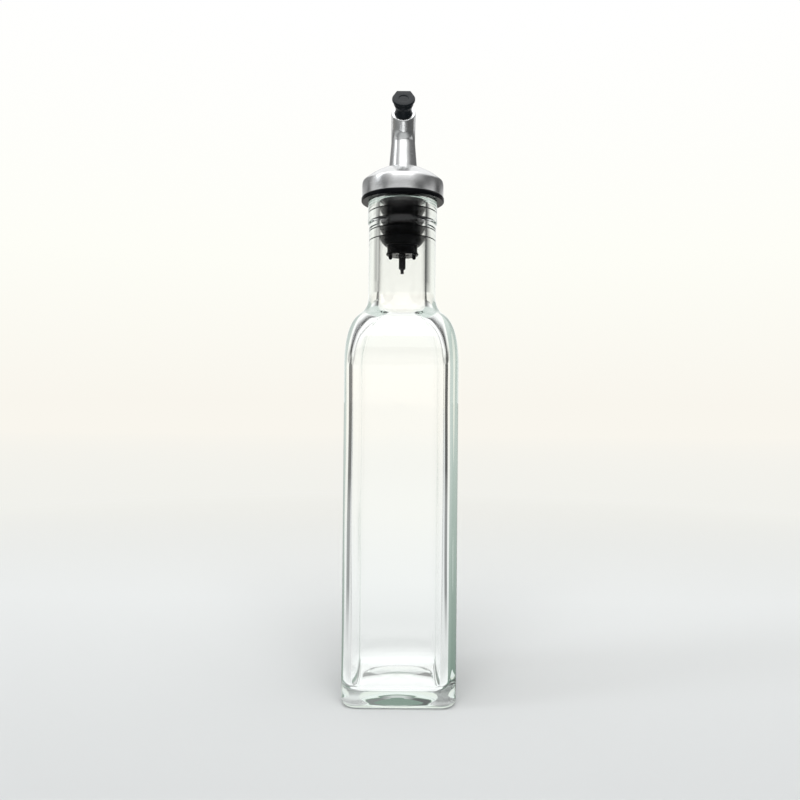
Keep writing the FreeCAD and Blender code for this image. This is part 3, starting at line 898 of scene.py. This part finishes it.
# Distances from the bottle's axis along the floor, in metres, as (start, end).
PAINTED_POOL_REACH = (0.03, 0.06)  # out of the painted pool of light under the base
NEARBY_REACH = (0.08, 0.2)    # into where the painted card shade shows
ROOM_REACH = (0.6, 1.1)       # into where they show in full
UNLIT_REACH = (0.2, 0.7)      # out of the lamps' light
CARD_SHARE = 0.75             # how much of the painted card shade the floor near the bottle shows


def level_at(bearing, empty, cards):
    """Level of a room at a bearing in degrees."""
    level = empty
    for centre, half_width, soft, strength in cards:
        past = abs((bearing - centre + 180) % 360 - 180) - half_width
        cover = max(0, min(1, 1 - past / soft))
        level += cover * (strength - level)
    return level


def room(tree, place, empty, cards):
    """Level of the room by the bearing of a place or a direction, as a share of the peak."""
    split = add(tree, "ShaderNodeSeparateXYZ", {}, {"Vector": place})
    bearing = add(
        tree, "ShaderNodeMath", {"operation": "ARCTAN2"},
        {0: split.outputs["X"], 1: split.outputs["Y"]},
    )
    share = add(
        tree, "ShaderNodeMapRange", {"From Min": -math.pi, "From Max": math.pi},
        {"Value": bearing.outputs["Value"]},
    )
    edges = {-180, 180}
    for centre, half_width, soft, _ in cards:
        for offset in (half_width, half_width + soft):
            for edge in (centre - offset, centre + offset):
                edges.add((edge + 180) % 360 - 180)
    stops = [
        ((edge + 180) / 360, grey(level_at(edge, empty, cards) / ROOM_PEAK))
        for edge in sorted(edges)
    ]
    return ramp(tree, share.outputs["Result"], stops).outputs["Color"]


def arch(tree, direction):
    """Level of the room high up, by how far out towards the rim of the arch a direction is."""
    split = add(tree, "ShaderNodeSeparateXYZ", {}, {"Vector": direction})
    total = None
    for axis, reach in (("X", ARCH_HALF_WIDTH), ("Z", ARCH_HEIGHT)):
        size = add(
            tree, "ShaderNodeMath", {"operation": "ABSOLUTE"}, {0: split.outputs[axis]}
        ).outputs["Value"]
        share = add(tree, "ShaderNodeMath", {"operation": "DIVIDE", 1: reach}, {0: size})
        power = add(
            tree, "ShaderNodeMath", {"operation": "POWER", 1: ARCH_SQUARENESS},
            {0: share.outputs["Value"]},
        ).outputs["Value"]
        if total is not None:
            power = add(
                tree, "ShaderNodeMath", {"operation": "ADD"}, {0: power, 1: total}
            ).outputs["Value"]
        total = power
    out = add(
        tree, "ShaderNodeMath", {"operation": "POWER", 1: 1 / ARCH_SQUARENESS}, {0: total}
    )
    share = add(
        tree, "ShaderNodeMapRange", {"From Max": ARCH_OUTSIDE}, {"Value": out.outputs["Value"]}
    )
    white = grey(EMPTY_LOW / ROOM_PEAK)
    dark = grey(ARCH_DARK / ROOM_PEAK)
    return ramp(tree, share.outputs["Result"], [
        (ARCH_FADE / ARCH_OUTSIDE, white),
        (ARCH_RIM / ARCH_OUTSIDE, dark),
        (ARCH_RIM_END / ARCH_OUTSIDE, dark),
        (1.0, white),
    ]).outputs["Color"]


def between(tree, value, start, end, first, second):
    """Goes from first to second, which are sockets, as a value goes from start to end."""
    return add(
        tree, "ShaderNodeMapRange", {"From Min": start, "From Max": end},
        {"Value": value, "To Min": first, "To Max": second},
    ).outputs["Result"]


def constant(tree, value):
    """Socket that holds a number."""
    node = tree.nodes.new("ShaderNodeValue")
    node.outputs[0].default_value = value
    return node.outputs[0]


def floor_material(stage):
    """Matt painted board: pale grey in front, warmer far behind, where it turns to backdrop."""
    material, tree, output = new_material("matt painted board")
    place = add(tree, "ShaderNodeTexCoord").outputs["Object"]
    split = add(tree, "ShaderNodeSeparateXYZ", {}, {"Vector": place})
    # Depth behind the bottle, from 0 at 0.3 m in front to 1 at 2.7 m behind.
    depth = add(
        tree, "ShaderNodeMapRange", {"From Min": -0.3, "From Max": 2.7}, {"Value": split.outputs["Y"]}
    )
    shade = ramp(tree, depth.outputs["Result"], [
        (0.07, to_linear(stage.near)),
        (0.15, to_linear(stage.middle)),
        (0.27, to_linear(stage.back)),
        (0.95, to_linear(stage.far)),
    ])
    matt = add(
        tree, "ShaderNodeBsdfDiffuse", {"Roughness": 0.5}, {"Color": shade.outputs["Color"]}
    )
    distance = add(tree, "ShaderNodeVectorMath", {"operation": "LENGTH"}, {"Vector": place})
    reach = distance.outputs["Value"]
    path = add(tree, "ShaderNodeLightPath")
    through_glass = path.outputs["Is Transmission Ray"]
    # Through the glass the board glows, with painted shade at the bearings of the dark cards: three
    # quarters of it near by and all of it far off.
    dimmed = add(
        tree, "ShaderNodeMath", {"operation": "MULTIPLY", 1: ROOM_PEAK},
        {0: room(tree, place, EMPTY_LOW, CARDS_LOW)},
    )
    part_dimmed = add(
        tree, "ShaderNodeMath",
        {"operation": "MULTIPLY_ADD", 1: CARD_SHARE * stage.through, 2: 1 - CARD_SHARE},
        {0: dimmed.outputs["Value"]},
    )
    # Under the bottle the board is painted brighter, a painted pool of the light that the base would
    # gather on it.
    painted_glow = constant(tree, stage.painted_pool)
    painted_pool = between(tree, reach, *PAINTED_POOL_REACH, painted_glow, constant(tree, stage.through))
    nearby = between(tree, reach, *NEARBY_REACH, painted_pool, part_dimmed.outputs["Value"])
    level = between(tree, reach, *ROOM_REACH, nearby, dimmed.outputs["Value"])
    # In reflections the board glows with the mirrored room painted on it by bearing: a painted
    # reflection.
    mirrored = add(
        tree, "ShaderNodeMath", {"operation": "MULTIPLY", 1: ROOM_PEAK},
        {0: room(tree, place, EMPTY_MIRRORED, CARDS_MIRRORED)},
    )
    in_gloss = path.outputs["Is Glossy Ray"]
    seen = between(tree, in_gloss, 0, 1, constant(tree, 1), mirrored.outputs["Value"])
    strength = between(tree, through_glass, 0, 1, seen, level)
    glow = add(
        tree, "ShaderNodeEmission", {}, {"Color": shade.outputs["Color"], "Strength": strength}
    )
    # Far from the bottle the board only shows its colour, so no lamp's edge shows on it.
    lit, unlit = UNLIT_REACH
    away = add(
        tree, "ShaderNodeMapRange", {"From Min": lit, "From Max": unlit}, {"Value": reach}
    )
    plain = add(
        tree, "ShaderNodeMath", {"operation": "MAXIMUM"},
        {0: away.outputs["Result"], 1: in_gloss},
    )
    mixed = add(tree, "ShaderNodeMixShader", {}, {"Fac": plain.outputs["Value"]})
    tree.links.new(matt.outputs["BSDF"], mixed.inputs[1])
    tree.links.new(glow.outputs["Emission"], mixed.inputs[2])
    tree.links.new(mixed.outputs["Shader"], output.inputs["Surface"])
    return material


def studio_world(stage):
    """Backdrop and room by the kind of ray that meets them."""
    world = bpy.data.worlds.new("studio backdrop")
    bpy.context.scene.world = world
    world.use_nodes = True
    tree = world.node_tree
    tree.nodes.clear()
    output = tree.nodes.new("ShaderNodeOutputWorld")
    direction = add(tree, "ShaderNodeTexCoord").outputs["Generated"]
    rise = add(tree, "ShaderNodeSeparateXYZ", {}, {"Vector": direction}).outputs["Z"]
    backdrop = ramp(tree, rise, [
        (0.0, to_linear(stage.far)), (0.18, to_linear(stage.wall)), (0.45, (1, 1, 1, 1)),
    ])
    seen = add(tree, "ShaderNodeBackground", {}, {"Color": backdrop.outputs["Color"]})
    low = room(tree, direction, EMPTY_LOW, CARDS_LOW)
    high = room(tree, direction, EMPTY_HIGH, CARDS_HIGH)
    side = between(tree, rise, *BODY_TO_NECK_RISE, low, high)
    ceiling = constant(tree, stage.ceiling / ROOM_PEAK)
    ahead = add(tree, "ShaderNodeSeparateXYZ", {}, {"Vector": direction}).outputs["Y"]
    front = constant(tree, FRONT_DARK)
    vault = between(tree, ahead, *FRONT_TO_ARCH_AHEAD, front, arch(tree, direction))
    level = between(tree, rise, *NECK_TO_ARCH_RISE, side, vault)
    shaded = add(
        tree, "ShaderNodeVectorMath", {"operation": "MULTIPLY"},
        {0: backdrop.outputs["Color"], 1: level},
    )
    through = add(
        tree, "ShaderNodeBackground", {"Strength": ROOM_PEAK}, {"Color": shaded.outputs["Vector"]}
    )
    round_about = between(tree, rise, *MIRRORED_NECK_RISE, low, high)
    metal_sees = room(tree, direction, EMPTY_MIRRORED, CARDS_MIRRORED)
    walls = between(tree, rise, *MIRRORED_METAL_RISE, round_about, metal_sees)
    above = between(tree, rise, *CEILING_RISE, walls, ceiling)
    mirrored = add(tree, "ShaderNodeBackground", {"Strength": ROOM_PEAK}, {"Color": above})
    fill = add(tree, "ShaderNodeBackground", {"Color": grey(1), "Strength": stage.fill})
    path = add(tree, "ShaderNodeLightPath")
    shader = fill.outputs["Background"]
    for ray, source in (
        ("Is Glossy Ray", mirrored), ("Is Transmission Ray", through), ("Is Camera Ray", seen),
    ):
        mixed = tree.nodes.new("ShaderNodeMixShader")
        tree.links.new(path.outputs[ray], mixed.inputs["Fac"])
        tree.links.new(shader, mixed.inputs[1])
        tree.links.new(source.outputs["Background"], mixed.inputs[2])
        shader = mixed.outputs["Shader"]
    tree.links.new(shader, output.inputs["Surface"])


def softbox(name, place, target, width, height, power, tint=(1, 1, 1)):
    """Rectangular lamp that faces a point, unseen through glass."""
    light = bpy.data.lights.new(name, "AREA")
    light.shape = "RECTANGLE"
    light.size = width
    light.size_y = height
    light.energy = power
    light.color = tint
    lamp = bpy.data.objects.new(name, light)
    lamp.location = place
    lamp.rotation_euler = (Vector(target) - Vector(place)).to_track_quat("-Z", "Y").to_euler()
    lamp.visible_camera = False
    lamp.visible_transmission = False
    bpy.context.scene.collection.objects.link(lamp)


class OBJECT_OT_oil_bottle_stage(bpy.types.Operator):
    """Pale floor, backdrop, room, soft lamps and the camera"""

    bl_idname = "oil_bottle.stage"
    bl_label = "Stage"

    def execute(self, context):
        stage = context.scene.bottle_stage
        bm = bmesh.new()
        bmesh.ops.create_grid(bm, x_segments=1, y_segments=1, size=60)
        mesh = bpy.data.meshes.new("floor")
        bm.to_mesh(mesh)
        bm.free()
        mesh.materials.append(floor_material(stage))
        floor = bpy.data.objects.new("floor", mesh)
        context.scene.collection.objects.link(floor)
        floor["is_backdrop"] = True
        studio_world(stage)
        softbox("front softbox", (0.0, -1.1, 1.12), (0, 0, 0.2), 1.3, 0.8, 7)
        softbox("left strip", (-1.0, -0.29, 0.95), (0, 0, 0.2), 0.3, 0.8, 2.0, (0.93, 0.96, 1))
        softbox("overhead softbox", (0, -0.3, 1.3), (0, 0, 0.2), 1.1, 1.1, 5)
        self.make_camera(context, stage)
        context.scene.view_settings.view_transform = "Standard"
        return {"FINISHED"}

    def make_camera(self, context, stage):
        """Nearly level camera in front of the bottle."""
        data = bpy.data.cameras.new("camera")
        data.sensor_width = 36
        data.lens = stage.focal
        data.clip_start = 0.01
        data.clip_end = 200
        camera = bpy.data.objects.new("camera", data)
        aside = -stage.camera_aside * MM
        camera.location = (aside, -stage.camera_back * MM, stage.camera_height * MM)
        upright = Matrix.Rotation(math.radians(90) + stage.tilt, 4, "X")
        camera.rotation_euler = (upright @ Matrix.Rotation(stage.roll, 4, "Z")).to_euler()
        context.scene.collection.objects.link(camera)
        context.scene.camera = camera


class VIEW3D_PT_oil_bottle(bpy.types.Panel):
    """Sidebar panel with the steps in order"""

    bl_label = "Oil bottle"
    bl_space_type = "VIEW_3D"
    bl_region_type = "UI"
    bl_category = "Oil bottle"

    def draw(self, context):
        for step in STEPS:
            self.layout.operator(step.bl_idname)


GROUPS = {
    "bottle_glass": GlassSizes,
    "bottle_sleeve": SleeveSizes,
    "bottle_metal": MetalSizes,
    "bottle_plug": PlugSizes,
    "bottle_stage": StageSettings,
}
STEPS = (
    OBJECT_OT_oil_bottle_glass,
    OBJECT_OT_oil_bottle_sleeve,
    OBJECT_OT_oil_bottle_insert,
    OBJECT_OT_oil_bottle_collar,
    OBJECT_OT_oil_bottle_spout,
    OBJECT_OT_oil_bottle_plug,
    OBJECT_OT_oil_bottle_stage,
)


def register():
    for name, group in GROUPS.items():
        bpy.utils.register_class(group)
        setattr(bpy.types.Scene, name, bpy.props.PointerProperty(type=group))
    for step in STEPS:
        bpy.utils.register_class(step)
    bpy.utils.register_class(VIEW3D_PT_oil_bottle)


def unregister():
    bpy.utils.unregister_class(VIEW3D_PT_oil_bottle)
    for step in reversed(STEPS):
        bpy.utils.unregister_class(step)
    for name, group in GROUPS.items():
        delattr(bpy.types.Scene, name)
        bpy.utils.unregister_class(group)


def main():
    register()
    bpy.ops.oil_bottle.glass()
    bpy.ops.oil_bottle.sleeve()
    bpy.ops.oil_bottle.insert()
    bpy.ops.oil_bottle.collar()
    bpy.ops.oil_bottle.spout()
    bpy.ops.oil_bottle.plug()
    bpy.ops.oil_bottle.stage()
    sizes = {"cad": CAD_BOUNDS, "visual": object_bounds()}
    for name, corners in sizes.items():
        sizes[name] = [[float(value) for value in corner] for corner in corners]


if __name__ == "__main__":
    main()
